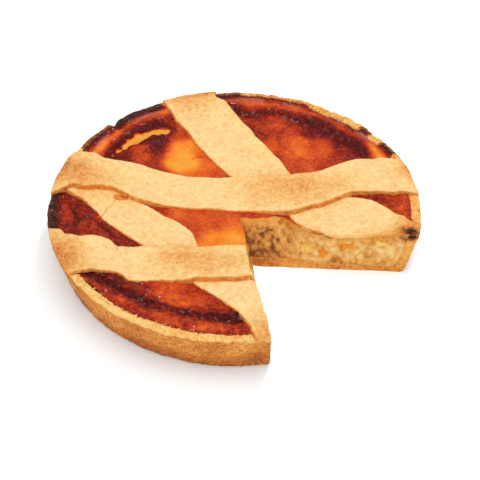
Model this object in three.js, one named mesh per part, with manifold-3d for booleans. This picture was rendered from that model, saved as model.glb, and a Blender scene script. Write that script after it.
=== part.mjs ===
// A pastiera: a round open tart of shortcrust filled with ricotta and cooked wheat, with a lattice of
// flat dough strips baked on top and one wedge cut out of it. Millimetres, +Z up, resting on Z = 0, with
// the origin at the middle of its base. The wedge-shaped notch opens towards -Y and +X.
import * as THREE from "three";
import { ImprovedNoise } from "three/addons/math/ImprovedNoise.js";
import { mergeVertices } from "three/addons/utils/BufferGeometryUtils.js";
import Module from "manifold-3d";

const wasm = await Module();
wasm.setup();

// The crust.
const RIM_RADIUS = 130;
const BASE_RADIUS = 122.5;
const RIM_HEIGHT = 34;
const WALL = 6.5;
const FLOOR = 4.5;
const CRUMB = { height: 0.75, fine: 6, broad: 30 }; // small and broad hills along the rim
const DENT = { size: 14, depth: 0.4 }; // shallow dents all over the wall
const CHIP = { angle: 135, width: 1.4, depth: 2.6 }; // a nick in the rim, degrees, degrees and mm
const OVAL = { angle: 150, amount: 1.1 }; // the tart bulges a little this way, degrees and mm

// The top of the filling: a dish that sank in the middle, with a swollen bead along the crust and a
// trench inside the bead.
const CENTRE_HEIGHT = 23;
const EDGE_HEIGHT = 33;
const DISH_POWER = 2.2;
const BEAD = { radius: 114.5, width: 4.6, height: 2.2 };
const TRENCH = { radius: 106, width: 5, height: -2.6 };
const SWELL = { size: 34, height: 0.8 }; // broad hills of the baked skin
const BLISTER = { size: 16, height: 0.48 }; // smaller ones

// The lattice.
const STRIP_THICKNESS = 3.4;
const STRIP_EDGE = 1.3; // how far a strip's top edge is rounded in
const SUNK = { filling: 1.8, rim: 0.3, from: 112, to: 124 }; // how deep a strip lies in the filling, and
// on the rim, and the radii between which it climbs out
const RAMP = 13; // length over which an upper strip climbs onto a lower one
const PINCH = { share: 0.45, length: 15 }; // how much thinner a strip is pressed towards the rim, mm
const CROWN = { drop: 0.25, power: 6 }; // how the top of a strip falls off towards its sides
const WANDER = { size: 22, amount: 0.7 }; // how far the sides of a strip wander
const WAVE = { size: 26, height: 0.4 }; // low waves of a strip's top
const RAGGED = { size: 12, amount: 0.5 }; // how unevenly the strips end at the rim
const OVERHANG = 0.5; // how far the strips stand out past the rim
const CRACK = { step: 3, size: 5, jag: 1.3 }; // how jagged a crack in a strip is

// The cut faces.
const APEX_WIDTH = 3;
const CUT_TOP = 25; // height at which the upper lines of the cut are given
const CUT_BELOW = 5; // how far the cutter reaches below the base
const CUT_ABOVE = 14; // and above the rim
const LUMP = { size: 7, height: 1.5 }; // grains and curds that stand out of a cut face
const KNOCK = { size: 7, amount: 0.8 }; // how uneven a die of peel is

const GAP = 0.3; // clearance between pieces that touch
const SEGMENTS = 96; // sides of the round shapes
const STEP = 7; // length of a facet along a cut
const STRIP_STEP = 5; // length of a facet along a strip
const CUT_ROWS = 9; // rows of facets up a cut face
const STRIP_ROWS = 5; // rows of facets across a strip

const noise = new ImprovedNoise();
const lathePoint = ([radius, height]) => new THREE.Vector2(radius, height);
const planPoint = ([x, y]) => new THREE.Vector2(x, y);
const spline = (points) => new THREE.SplineCurve(points.map(planPoint));

// A smooth random height between about -1 and 1, with hills of the given size.
function hills(x, y, z, size) {
  return noise.noise(x / size + 7.3, y / size + 2.9, z / size + 11.7) * 1.6;
}

function bump(radius, ring) {
  return ring.height * Math.exp(-(((radius - ring.radius) / ring.width) ** 2));
}

function dish(radius) {
  const share = Math.min(radius / (RIM_RADIUS - WALL), 1);
  return CENTRE_HEIGHT + (EDGE_HEIGHT - CENTRE_HEIGHT) * share ** DISH_POWER;
}

// What the strips bend over: the dish and the bead, but not the trench.
function bed(x, y) {
  const radius = Math.hypot(x, y);
  const shoulder = THREE.MathUtils.smoothstep(radius, BEAD.radius, RIM_RADIUS - WALL);
  return dish(radius) + Math.max(bump(radius, BEAD), shoulder * (RIM_HEIGHT - EDGE_HEIGHT));
}

// A closed geometry as a solid that can be joined and cut.
function solid(geometry) {
  const bare = geometry.clone();
  bare.deleteAttribute("normal");
  bare.deleteAttribute("uv");
  const merged = mergeVertices(bare, 1e-4);
  return new wasm.Manifold(
    new wasm.Mesh({
      numProp: 3,
      vertProperties: new Float32Array(merged.attributes.position.array),
      triVerts: new Uint32Array(merged.index.array),
    }),
  );
}

// The largest body of a solid: a boolean cut can leave loose scraps beside it.
function largest(shape) {
  const bodies = shape.decompose();
  return bodies.reduce((best, body) => (body.volume() > best.volume() ? body : best));
}

// A solid as a geometry again.
function geometryOf(shape) {
  const mesh = largest(shape).getMesh();
  const geometry = new THREE.BufferGeometry();
  geometry.setAttribute("position", new THREE.BufferAttribute(mesh.vertProperties, 3));
  geometry.setIndex(new THREE.BufferAttribute(mesh.triVerts, 1));
  geometry.computeVertexNormals();
  return geometry;
}

// Moves each vertex of a geometry to where the rule puts it.
function reshape(geometry, rule) {
  const position = geometry.attributes.position;
  const point = new THREE.Vector3();
  for (let i = 0; i < position.count; i++) {
    point.fromBufferAttribute(position, i);
    rule(point);
    position.setXYZ(i, point.x, point.y, point.z);
  }
  return geometry;
}

// A shape turned about +Z from a profile of radii and heights.
function turned(profile) {
  return new THREE.LatheGeometry(profile.map(lathePoint), SEGMENTS).rotateX(Math.PI / 2);
}

// ---- The whole tart, before it is parted into crust and filling ----

// How far the tart bulges out of the round at a place.
function oval(x, y) {
  const turn = Math.atan2(y, x) - THREE.MathUtils.degToRad(OVAL.angle);
  return OVAL.amount * (1 + Math.cos(turn));
}

// The rim crumbles: its height and its edge wander, with one nick.
function crumble(point) {
  const { x, y, z } = point;
  const angle = THREE.MathUtils.radToDeg(Math.atan2(y, x));
  const top = THREE.MathUtils.smoothstep(z, RIM_HEIGHT * 0.8, RIM_HEIGHT);
  const fine = hills(x, y, z, CRUMB.fine) * CRUMB.height;
  const broad = hills(x, y, 0, CRUMB.broad) * CRUMB.height;
  const dent = hills(x, y, z, DENT.size) * DENT.depth;
  const chip = CHIP.depth * Math.exp(-(((angle - CHIP.angle) / CHIP.width) ** 2));
  const out = 1 + (oval(x, y) + dent + top * (fine - chip) * 0.5) / RIM_RADIUS;
  point.set(x * out, y * out, z + top * (fine + broad - chip));
}

function blister(point) {
  const { x, y } = point;
  const radius = Math.hypot(x, y);
  const skin =
    hills(x, y, 0, BLISTER.size) * BLISTER.height + hills(x, y, 40, SWELL.size) * SWELL.height;
  point.z = dish(radius) + bump(radius, BEAD) + bump(radius, TRENCH) + skin;
}

function wholeTart() {
  const rim = [
    [BASE_RADIUS - 2, 0],
    [BASE_RADIUS, 2],
    [BASE_RADIUS + 2.6, RIM_HEIGHT * 0.35],
    [BASE_RADIUS + 5.2, RIM_HEIGHT * 0.7],
    [RIM_RADIUS - 0.3, RIM_HEIGHT - 3],
    [RIM_RADIUS - 0.8, RIM_HEIGHT - 0.8],
    [RIM_RADIUS - 3, RIM_HEIGHT + 0.2],
    [RIM_RADIUS - 5, RIM_HEIGHT - 0.2],
  ];
  const topRadii = [RIM_RADIUS - WALL - 1, 118.5, 114.5, 110.5, 106, 101, 93, 80, 60, 34, 0];
  const top = topRadii.map((radius) => [radius, dish(radius)]);
  const edge = RIM_RADIUS - WALL;
  return reshape(turned([[0, 0], ...rim, ...top]), (point) => {
    const radius = Math.hypot(point.x, point.y);
    if (radius < edge && point.z >= CENTRE_HEIGHT) blister(point);
    else if (point.z > 0) crumble(point);
  });
}

// The room that the crust leaves for the filling, smaller all round by the clearance.
function hollow(clearance) {
  const top = RIM_HEIGHT * 2;
  const spread = (RIM_RADIUS - BASE_RADIUS) / RIM_HEIGHT;
  const foot = BASE_RADIUS - WALL - clearance;
  return solid(
    turned([
      [0, FLOOR + clearance],
      [foot + FLOOR * spread, FLOOR + clearance],
      [foot + top * spread, top],
      [0, top],
    ]),
  );
}

// ---- The notch ----

// The notch in plan: the lines of its two faces on the top and on the base, from its inner corner to
// well outside the rim. At the base the inner corner stands further forward.
const LEFT_TOP = [
  [1.5, 0.5], [4, -8], [5, -18], [6, -28], [7.5, -38], [8.3, -47], [10.3, -60], [12.5, -70], [15, -80],
  [18, -95], [20.5, -110], [22.5, -127], [29, -170],
];
const RIGHT_TOP = [
  [1.5 + APEX_WIDTH, 0.3], [20, -0.6], [28, -1], [34, -3.5], [40, -10], [47, -16], [54, -21.5], [62, -26],
  [70, -28.3], [80, -29.5], [95, -30.5], [110, -31], [124, -32.5], [170, -44],
];
const LEFT_FOOT = [[12, -27], [17, -75], [22, -119], [29, -170]];
const RIGHT_FOOT = [[12 + APEX_WIDTH, -28], [70, -31], [118, -34], [170, -42]];

const faces = {
  left: { top: spline(LEFT_TOP), foot: spline(LEFT_FOOT) },
  right: { top: spline(RIGHT_TOP), foot: spline(RIGHT_FOOT) },
};

// A point of a cut face before it is roughened: its share of the way from the inner corner outwards,
// and its height.
function facePoint({ top, foot }, share, z) {
  return foot.getPointAt(share).lerp(top.getPointAt(share), z / CUT_TOP);
}

function notch() {
  const steps = Math.round(faces.left.top.getLength() / STEP);
  return solid(
    reshape(new THREE.BoxGeometry(1, 1, 1, steps, 1, CUT_ROWS), (point) => {
      const left = point.y < 0;
      const z = THREE.MathUtils.lerp(-CUT_BELOW, RIM_HEIGHT + CUT_ABOVE, point.z + 0.5);
      const plan = facePoint(left ? faces.left : faces.right, point.x + 0.5, z);
      const lump = hills(plan.x, plan.y, z, LUMP.size) * LUMP.height;
      point.set(plan.x + (left ? lump : 0), plan.y + (left ? 0 : lump), z);
    }),
  );
}

// ---- The lattice ----

// Each strip's two side lines in plan from one end to the other, and the strips that it lies on.
const strips = {
  strip_diagonal_back: {
    sides: [
      [
        [-14, 137.7], [-16, 125.2], [-9.3, 119.4], [-2.7, 111.2], [4, 100.7], [12, 88.7], [20, 76.7],
        [28, 64.7], [33.3, 56.7], [37.3, 48.7], [41.5, 40.7], [50, 31.7], [62, 22.7], [75, 16.7],
        [88, 12.5], [95, 9.7], [100, 6.2], [105, 1.7], [108, -2.3], [111, -6.8], [115, -12.3],
        [119, -16.3], [124, -21.3], [137, -33.3],
      ],
      [
        [-60, 127.7], [-55, 114.7], [-49.5, 104.7], [-44, 96.7], [-40, 91.4], [-33, 80.7], [-26.7, 70],
        [-17.3, 56.7], [-9.3, 46], [-3.5, 39.7], [6, 28.7], [18, 15.7], [30, 3.7], [37, -1.3],
        [39.4, -5.8], [44, -11.8], [52, -18.3], [62, -24.3], [75, -34.3], [100, -53.3], [120, -76.3],
      ],
    ],
  },
  strip_diagonal_front: {
    sides: [
      [
        [-140, 61.7], [-120, 43.7], [-104, 29.7], [-92, 17.7], [-84, 12.1], [-76, 11.3], [-70, 10.3],
        [-64, 7.1], [-57, 1.9], [-48.3, -4.2], [-40, -9.3], [-33.5, -15.3], [-29.5, -21.5],
        [-27, -28.3], [-24.5, -35.3], [-18, -45.3], [-6, -55.3], [8, -66.3], [25, -81.3], [45, -103.3],
        [65, -133.3],
      ],
      [
        [-148, 37.7], [-135, 25.7], [-124, 17.2], [-118.5, 11.4], [-113, 8.9], [-108, 7.1], [-103, 1.1],
        [-97.7, -5], [-94.8, -9.3], [-89, -14.6], [-83, -19.8], [-74.3, -27.6], [-65.7, -34.8],
        [-55, -44.3], [-42, -56.3], [-32, -67.8], [-24.3, -75.7], [-18.4, -80.8], [-10, -88.5],
        [-3, -96.2], [1.5, -101.3], [5, -107.3], [7.5, -113.7], [9.8, -119.8], [14, -134.3],
      ],
    ],
  },
};
strips.strip_long_back = {
  sides: [
    [
      [-140, 54.8], [-117.5, 56.6], [-105, 55.7], [-92, 53.5], [-80, 51.7], [-70, 49.1], [-60, 46.1],
      [-50, 42.9], [-40, 40.5], [-30, 39.2], [-20, 39.2], [-6, 36.9], [20, 37.3], [40, 37.6], [50, 42],
      [60, 44.9], [70, 48.1], [80, 51.5], [90, 53.5], [100, 51.5], [110, 49.3], [118, 48.2],
      [140, 45.7],
    ],
    [
      [-140, 9.7], [-129, 10.8], [-122, 13.1], [-115, 15.3], [-107, 17.8], [-100, 19.4], [-93, 19.8],
      [-87, 18.4], [-80, 14.7], [-74, 10.9], [-68, 9.1], [-60, 7.3], [-50, 6.6], [-40, 6], [-30, 5.1],
      [-20, 4.8], [-10, 4.5], [0, 3.5], [10, 2.9], [20, 1.5], [32, -1.1], [40, -0.6], [48, 1.5],
      [56, 3.8], [63, 6.1], [71, 9.8], [79, 13.8], [87, 16.2], [95, 16.1], [103, 16.6], [109, 15.1],
      [114, 12.1], [120, 11.3], [128, 8.7], [140, 6.7],
    ],
  ],
  over: [strips.strip_diagonal_back, strips.strip_diagonal_front],
};
strips.strip_long_front = {
  sides: [
    [
      [-140, -23.3], [-127, -26.1], [-121, -27.1], [-117.2, -30.9], [-112.5, -32.7], [-107.5, -31.1],
      [-103, -28.7], [-97, -28], [-89, -30.5], [-84.5, -34], [-81, -37.9], [-77, -38.1], [-69, -39.2],
      [-58, -39.4], [-48, -39], [-38, -38.7], [-26, -37.9], [-13, -32.8], [0, -32.3], [15, -31.8],
      [50, -31.3],
    ],
    [
      [-140, -78.3], [-118, -71.8], [-108, -69.8], [-103.3, -68.7], [-98.6, -67.7], [-91.7, -65.1],
      [-85.6, -63.9], [-79.5, -65.1], [-74.8, -68.3], [-71.2, -72.3], [-65.7, -73.1], [-58.7, -72.2],
      [-48, -71.3], [-38, -71.6], [-31, -71.8], [-24, -70.2], [-10, -69.4], [7, -68.8], [25, -64.3],
      [50, -64.3],
    ],
  ],
  over: [strips.strip_diagonal_front],
};

// The two side lines of a strip, and points along its middle with half its width there.
for (const strip of Object.values(strips)) {
  strip.curves = strip.sides.map(spline);
  const [left, right] = strip.curves.map((curve) => curve.getSpacedPoints(80));
  const middle = left.map((point, i) => point.clone().lerp(right[i], 0.5));
  strip.middle = middle.map((point, i) => {
    const heading = (middle[i + 1] ?? point).clone().sub(middle[i - 1] ?? point).normalize();
    return { point, half: Math.abs(left[i].clone().sub(right[i]).cross(heading)) / 2 };
  });
}

// How far a point in plan is outside a strip, or less than 0 inside it.
function outsideOf({ middle }, x, y) {
  const place = new THREE.Vector2(x, y);
  const away = middle.map(({ point }) => point.distanceTo(place));
  const nearest = away.indexOf(Math.min(...away));
  return away[nearest] - middle[nearest].half;
}

// How thick a strip is: its ends are pressed thin where they meet the rim.
function thickness(x, y) {
  const atRim = THREE.MathUtils.smoothstep(Math.hypot(x, y), RIM_RADIUS - PINCH.length, RIM_RADIUS);
  return STRIP_THICKNESS * (1 - PINCH.share * atRim);
}

// How deep a strip lies in what it was laid on.
function sunk(x, y) {
  const outside = THREE.MathUtils.smoothstep(Math.hypot(x, y), SUNK.from, SUNK.to);
  return THREE.MathUtils.lerp(SUNK.filling, SUNK.rim, outside);
}

// Where the underside of a strip lies on the tart, and how far the strips that it crosses lift it.
function seat(x, y) {
  return bed(x, y) - sunk(x, y);
}

function lift({ over = [] }, x, y) {
  const lifts = over.map((lower) => {
    const near = 1 - THREE.MathUtils.smoothstep(outsideOf(lower, x, y), -2, RAMP);
    return near * (thickness(x, y) + GAP);
  });
  return Math.max(0, ...lifts);
}

// A strip with a rounded top edge, larger all round by the given margin. Its underside lies in the
// filling from end to end: where it crosses another strip, that one is cut out of it afterwards.
function ribbon(strip, margin = 0) {
  const [left, right] = strip.curves;
  const steps = Math.round(left.getLength() / STRIP_STEP);
  return solid(
    reshape(new THREE.BoxGeometry(1, 1, 1, steps, STRIP_ROWS, 2), (point) => {
      const along = point.x + 0.5;
      const side = point.y * 2;
      const level = point.z + 0.5;
      const middle = left.getPointAt(along).lerp(right.getPointAt(along), 0.5);
      const aside = left.getPointAt(along).sub(middle);
      const wander = hills(middle.x, middle.y, side > 0 ? 5 : 50, WANDER.size) * WANDER.amount;
      const half = aside.length() + wander + margin;
      const across = side * (half - (level === 1 ? STRIP_EDGE : 0));
      const { x, y } = aside.normalize().multiplyScalar(across).add(middle);
      const thick = thickness(x, y) + lift(strip, x, y);
      const crown = STRIP_THICKNESS * CROWN.drop * side ** CROWN.power;
      const heights = [-margin, thick * 0.5, thick - crown];
      const wave = level === 1 ? hills(x, y, 80, WAVE.size) * WAVE.height + margin : 0;
      point.set(x, y, seat(x, y) + heights[level * 2] + wave);
    }),
  );
}

// Strips end a little outside the rim, which is not quite round.
function trim() {
  const radius = RIM_RADIUS + OVERHANG;
  const top = RIM_HEIGHT * 2;
  return solid(
    reshape(turned([[0, -5], [radius, -5], [radius, top], [0, top]]), (point) => {
      const ragged = hills(point.x, point.y, 0, RAGGED.size) * RAGGED.amount;
      const out = 1 + (oval(point.x, point.y) + ragged) / RIM_RADIUS;
      point.x *= out;
      point.y *= out;
    }),
  );
}

// Where a strip broke as it baked: a thin jagged wedge from one point to another, as wide at each end
// as given, reaching down to the given share of the strip's thickness.
const cracks = [
  { strip: "strip_long_front", from: [-82, -36], to: [-70, -75], width: [1.2, 1.6], left: 0.55 },
  { strip: "strip_diagonal_front", from: [-83, 12], to: [-96, -12], width: [7, 0.8], left: 0.5 },
];

function crackWedge({ strip, from, to, width, left }) {
  const [start, end] = [from, to].map(planPoint);
  const line = end.clone().sub(start);
  const aside = new THREE.Vector2(-line.y, line.x).normalize();
  const steps = Math.round(line.length() / CRACK.step);
  const outline = (sign) =>
    Array.from({ length: steps + 1 }, (_, i) => {
      const share = i / steps;
      const half = THREE.MathUtils.lerp(...width, share) / 2;
      const jag = hills(start.x, start.y, i * CRACK.step, CRACK.size) * CRACK.jag;
      return start.clone().addScaledVector(line, share).addScaledVector(aside, jag + sign * half);
    });
  const shape = new THREE.Shape([...outline(-1), ...outline(1).reverse()]);
  const wedge = new THREE.ExtrudeGeometry(shape, { depth: 1, bevelEnabled: false });
  return solid(
    reshape(wedge, (point) => {
      const floor = seat(point.x, point.y) + STRIP_THICKNESS * left;
      point.z = point.z > 0.5 ? RIM_HEIGHT * 2 : floor;
    }),
  );
}

// ---- Candied peel ----

// Dice of candied orange and citron that the knife met: the face, the share of the way along it, the
// height of the middle and the size.
const peel = {
  candied_orange_right: { face: "right", share: 0.45, height: 19, size: [9, 7, 6] },
  candied_orange_deep: { face: "right", share: 0.33, height: 11, size: [7, 6, 6] },
  candied_orange_left: { face: "left", share: 0.33, height: 14, size: [7, 6, 7] },
  candied_orange_front: { face: "left", share: 0.55, height: 12, size: [7, 6, 8] },
  candied_citron_right: { face: "right", share: 0.26, height: 12, size: [9, 7, 6] },
  candied_citron_rim: { face: "right", share: 0.6, height: 22, size: [11, 7, 5] },
  candied_citron_left: { face: "left", share: 0.42, height: 16, size: [7, 9, 6] },
  candied_citron_front: { face: "left", share: 0.6, height: 22, size: [7, 8, 6] },
};

// A die with uneven corners, larger all round by the given margin.
function die({ face, share, height, size }, margin = 0) {
  const { x, y } = facePoint(faces[face], share, height);
  const grown = size.map((length) => length + 2 * margin);
  return solid(
    reshape(new THREE.BoxGeometry(...grown).rotateY(share - 0.3).rotateX(0.2), (point) => {
      const { x: a, y: b, z: c } = point;
      const knock = [hills(a, b + x, c, KNOCK.size), hills(b, c + x, a, KNOCK.size)];
      point.x = x + a + knock[0] * KNOCK.amount - (face === "left" ? 1 : 0);
      point.y = y + b + knock[1] * KNOCK.amount + (face === "left" ? 0 : 1);
      point.z = height + c;
    }),
  );
}

// ---- Assembly ----

const MATERIALS = {
  crust: { color: 0xd99a55, roughness: 0.85 },
  filling: { color: 0xc8501e, roughness: 0.45 },
  strip: { color: 0xf6d698, roughness: 0.8 },
  orange: { color: 0xf08a1c, roughness: 0.35 },
  citron: { color: 0xe6bf4e, roughness: 0.35 },
};

function material(name) {
  return new THREE.MeshStandardMaterial({ ...MATERIALS[name], metalness: 0 });
}

const pastiera = new THREE.Group();

function add(name, shape, finish) {
  const mesh = new THREE.Mesh(geometryOf(shape), material(finish));
  mesh.name = name;
  pastiera.add(mesh);
}

const whole = solid(wholeTart());
const cut = notch();
const disc = trim();
let bedded = whole; // the tart with the beds of the strips pressed into it
for (const strip of Object.values(strips)) bedded = bedded.subtract(ribbon(strip, GAP));

add("crust", bedded.subtract(hollow(0)).subtract(cut), "crust");

let filling = bedded.intersect(hollow(GAP)).subtract(cut);
for (const [name, piece] of Object.entries(peel)) {
  filling = filling.subtract(die(piece, GAP));
  add(name, die(piece).subtract(cut), name.includes("orange") ? "orange" : "citron");
}
add("filling", filling, "filling");

for (const [name, strip] of Object.entries(strips)) {
  let shape = ribbon(strip).intersect(disc);
  for (const lower of strip.over ?? []) shape = shape.subtract(ribbon(lower, GAP));
  if (name !== "strip_long_back") shape = shape.subtract(cut);
  for (const crack of cracks.filter((one) => one.strip === name)) {
    shape = shape.subtract(crackWedge(crack));
  }
  add(name, shape, "strip");
}

export default pastiera;
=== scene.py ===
# %% [markdown]
# # A pastiera
# A pastiera is a round open tart: a shortcrust shell, a filling of ricotta and cooked wheat that bakes
# to a glossy, burnt-sugar skin, and a lattice of flat dough strips. One wedge is cut out of this one, so
# the crumb of the filling shows.
#
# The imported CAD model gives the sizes. Each of its nodes gets a finely shaped piece here, made from the
# same named sizes, so that the skin, the crumb and the crust have real relief and not only a picture of it.

import math
import random
from bisect import bisect_right

import bmesh
import bpy
from mathutils import Matrix, Vector, noise
from mathutils.geometry import interpolate_bezier
from mathutils.kdtree import KDTree


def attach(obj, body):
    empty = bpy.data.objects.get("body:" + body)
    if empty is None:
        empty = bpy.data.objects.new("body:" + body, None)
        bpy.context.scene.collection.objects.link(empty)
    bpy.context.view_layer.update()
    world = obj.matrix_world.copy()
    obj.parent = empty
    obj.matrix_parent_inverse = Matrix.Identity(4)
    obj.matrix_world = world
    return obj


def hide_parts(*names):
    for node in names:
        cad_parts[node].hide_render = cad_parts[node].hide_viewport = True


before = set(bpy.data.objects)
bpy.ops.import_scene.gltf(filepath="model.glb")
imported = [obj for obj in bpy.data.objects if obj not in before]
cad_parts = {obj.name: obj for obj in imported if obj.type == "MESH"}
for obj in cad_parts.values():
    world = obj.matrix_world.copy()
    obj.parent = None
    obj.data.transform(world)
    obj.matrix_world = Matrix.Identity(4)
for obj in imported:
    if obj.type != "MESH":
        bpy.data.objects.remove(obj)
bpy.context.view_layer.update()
print("CAD nodes:", ", ".join(sorted(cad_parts)))

# %% [markdown]
# ## Sizes
# All shapes are worked out in millimetres, because that is how a baker thinks of a tart, and are made
# small once, when a piece is finished. Four little functions do most of the work: one blends two
# numbers, one climbs softly from 0 to 1, one gives smooth random hills and one gives a soft ridge.
#
# Most relief is a sum of hills. `hills(x, y, 40, 34) * 0.7` reads: hills 34 mm wide and 0.7 mm high.
# The third number is the height of the place, or any number, to get other hills.

# %% Sizes and small helpers
MM = 0.001
RIM_RADIUS = 130
BASE_RADIUS = 122.5
RIM_HEIGHT = 34
WALL = 6.5
FLOOR = 4.5
FOOT_CHAMFER = 2
INSIDE_RADIUS = RIM_RADIUS - WALL


def mix(low, high, share):
    return low + (high - low) * share


def smoothstep(value, low, high):
    share = min(max((value - low) / (high - low), 0), 1)
    return share * share * (3 - 2 * share)


def hills(x, y, z, size):
    """A smooth random height between about -1 and 1, with hills of the given size."""
    return noise.noise(Vector((x, y, z)) / size + Vector((7.3, 2.9, 11.7))) * 1.5


def ring(value, middle, width):
    """A soft ridge of height 1 round the given middle."""
    return math.exp(-(((value - middle) / width) ** 2))


print("hills at three places:", [round(hills(x, 0, 0, 9), 2) for x in (0, 30, 60)])

# %% [markdown]
# ## Lines in plan
# The strips and the two cut faces follow smooth lines. A Catmull-Rom line goes through all its points,
# and each stretch of it is a Bezier curve, which Blender can work out. The class keeps the points, how
# far along the line each lies, and a search tree that finds the nearest one. Places on the line are
# given as a share of its length.

# %% Smooth lines
POINTS_PER_STRETCH = 24


class Route:
    """A smooth line in plan through the given points."""

    def __init__(self, *knots):
        knots = [Vector(knot) for knot in knots]
        before = knots[:1] + knots[:-1]
        after = knots[1:] + knots[-1:]
        self.points = []
        for i in range(len(knots) - 1):
            out = knots[i] + (after[i] - before[i]) / 6
            into = knots[i + 1] - (after[i + 1] - before[i + 1]) / 6
            self.points += interpolate_bezier(knots[i], out, into, knots[i + 1], POINTS_PER_STRETCH)[:-1]
        self.points.append(knots[-1])
        self.marks = [0.0]
        for start, end in zip(self.points, self.points[1:]):
            self.marks.append(self.marks[-1] + (end - start).length)
        self.length = self.marks[-1]
        self.tree = KDTree(len(self.points))
        for i, point in enumerate(self.points):
            self.tree.insert(point.to_3d(), i)
        self.tree.balance()

    def at(self, share):
        """The point at a share of the length, and the direction there."""
        place = share * self.length
        i = min(max(bisect_right(self.marks, place) - 1, 0), len(self.points) - 2)
        start, end = self.points[i], self.points[i + 1]
        along = (place - self.marks[i]) / (self.marks[i + 1] - self.marks[i])
        return start.lerp(end, along), (end - start).normalized()

    def distance(self, x, y):
        """How far a point is from the line."""
        return self.tree.find((x, y, 0))[2]

    def nearest(self, x, y):
        """How far a point is from the line, and at which share of its length."""
        _, i, away = self.tree.find((x, y, 0))
        return away, self.marks[i] / self.length


# %% [markdown]
# ## The lattice in plan
# Two strips run one way and two the other, and the two long ones lie on the diagonal ones. Hand-cut
# strips are never even, so both sides of each strip are given, from one end to the other, and the
# middle line follows from them.

# %% Sides of the strips
STRIPS = {}


def note_strip(name, left_side, right_side, over=()):
    """Keeps a strip's two sides, the line midway between them and the strips that it lies over."""
    sides = Route(*left_side), Route(*right_side)
    places = [[side.at(i / 80)[0] for side in sides] for i in range(81)]
    middle = Route(*[left.lerp(right, 0.5) for left, right in places])
    STRIPS[name] = {"sides": sides, "middle": middle, "over": over}
    print(name, "is", round(middle.length), "mm long")


note_strip(
    "strip_diagonal_back",
    [
        (-14, 137.7), (-16, 125.2), (-9.3, 119.4), (-2.7, 111.2), (4, 100.7), (12, 88.7), (20, 76.7),
        (28, 64.7), (33.3, 56.7), (37.3, 48.7), (41.5, 40.7), (50, 31.7), (62, 22.7), (75, 16.7),
        (88, 12.5), (95, 9.7), (100, 6.2), (105, 1.7), (108, -2.3), (111, -6.8), (115, -12.3),
        (119, -16.3), (124, -21.3), (137, -33.3),
    ],
    [
        (-60, 127.7), (-55, 114.7), (-49.5, 104.7), (-44, 96.7), (-40, 91.4), (-33, 80.7),
        (-26.7, 70), (-17.3, 56.7), (-9.3, 46), (-3.5, 39.7), (6, 28.7), (18, 15.7), (30, 3.7),
        (37, -1.3), (39.4, -5.8), (44, -11.8), (52, -18.3), (62, -24.3), (75, -34.3), (100, -53.3),
        (120, -76.3),
    ],
)
note_strip(
    "strip_diagonal_front",
    [
        (-140, 61.7), (-120, 43.7), (-104, 29.7), (-94, 23), (-84, 18.5), (-76, 14.6), (-70, 11),
        (-64, 7.1), (-57, 1.9), (-48.3, -4.2), (-40, -9.3), (-33.5, -15.3), (-29.5, -21.5),
        (-27, -28.3), (-24.5, -35.3), (-18, -45.3), (-6, -55.3), (8, -66.3), (25, -81.3),
        (45, -103.3), (65, -133.3),
    ],
    [
        (-148, 37.7), (-135, 25.7), (-124, 17.2), (-118.5, 11.4), (-113, 8.9), (-108, 7.1),
        (-103, 1.1), (-97.7, -5), (-94.8, -9.3), (-89, -14.6), (-83, -19.8), (-74.3, -27.6),
        (-65.7, -34.8), (-55, -44.3), (-42, -56.3), (-32, -67.8), (-24.3, -75.7), (-18.4, -80.8),
        (-10, -88.5), (-3, -96.2), (1.5, -101.3), (5, -107.3), (7.5, -113.7), (9.8, -119.8),
        (14, -134.3),
    ],
)
note_strip(
    "strip_long_back",
    [
        (-140, 54.8), (-117.5, 56.6), (-105, 55.7), (-92, 53.5), (-80, 51.7), (-70, 49.1),
        (-60, 46.1), (-50, 42.9), (-40, 40.5), (-30, 39.2), (-20, 39.2), (-6, 36.9), (20, 37.3),
        (40, 37.6), (50, 42), (60, 44.9), (70, 48.1), (80, 51.5), (90, 53.5), (100, 51.5),
        (110, 49.3), (118, 48.2), (140, 45.7),
    ],
    [
        (-140, 9.7), (-129, 10.8), (-122, 13.1), (-115, 15.3), (-107, 17.8), (-100, 19.4),
        (-93, 19.8), (-87, 18.4), (-80, 14.7), (-74, 10.9), (-68, 9.1), (-60, 7.3), (-50, 6.6),
        (-40, 6), (-30, 5.1), (-20, 4.8), (-10, 4.5), (0, 3.5), (10, 2.9), (20, 1.5), (32, -1.1),
        (40, -0.6), (48, 1.5), (56, 3.8), (63, 6.1), (71, 9.8), (79, 13.8), (87, 16.2), (95, 16.1),
        (103, 16.6), (109, 15.1), (114, 12.1), (120, 11.3), (128, 8.7), (140, 6.7),
    ],
    over=["strip_diagonal_back", "strip_diagonal_front"],
)
note_strip(
    "strip_long_front",
    [
        (-140, -23.3), (-127, -26.1), (-121, -27.1), (-117.2, -30.9), (-112.5, -32.7),
        (-107.5, -31.1), (-103, -28.7), (-97, -28), (-89, -30.5), (-84.5, -34), (-81, -37.9),
        (-77, -38.1), (-69, -39.2), (-58, -39.4), (-48, -39), (-38, -38.7), (-26, -37.9),
        (-13, -32.8), (0, -32.3), (15, -31.8), (50, -31.3),
    ],
    [
        (-140, -78.3), (-118, -71.8), (-108, -69.8), (-103.3, -68.7), (-98.6, -67.7), (-91.7, -65.1),
        (-85.6, -63.9), (-79.5, -65.1), (-74.8, -68.3), (-71.2, -72.3), (-65.7, -73.1),
        (-58.7, -72.2), (-48, -71.3), (-38, -71.6), (-31, -71.8), (-24, -70.2), (-10, -69.4),
        (7, -68.8), (25, -64.3), (50, -64.3),
    ],
    over=["strip_diagonal_front"],
)


def outside_of(strip, x, y):
    """How far a point in plan is outside a strip, or less than 0 inside it."""
    away, share = strip["middle"].nearest(x, y)
    heading = strip["middle"].at(share)[1]
    left, right = [side.at(share)[0] for side in strip["sides"]]
    return away - abs((left - right).cross(heading)) / 2


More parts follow.
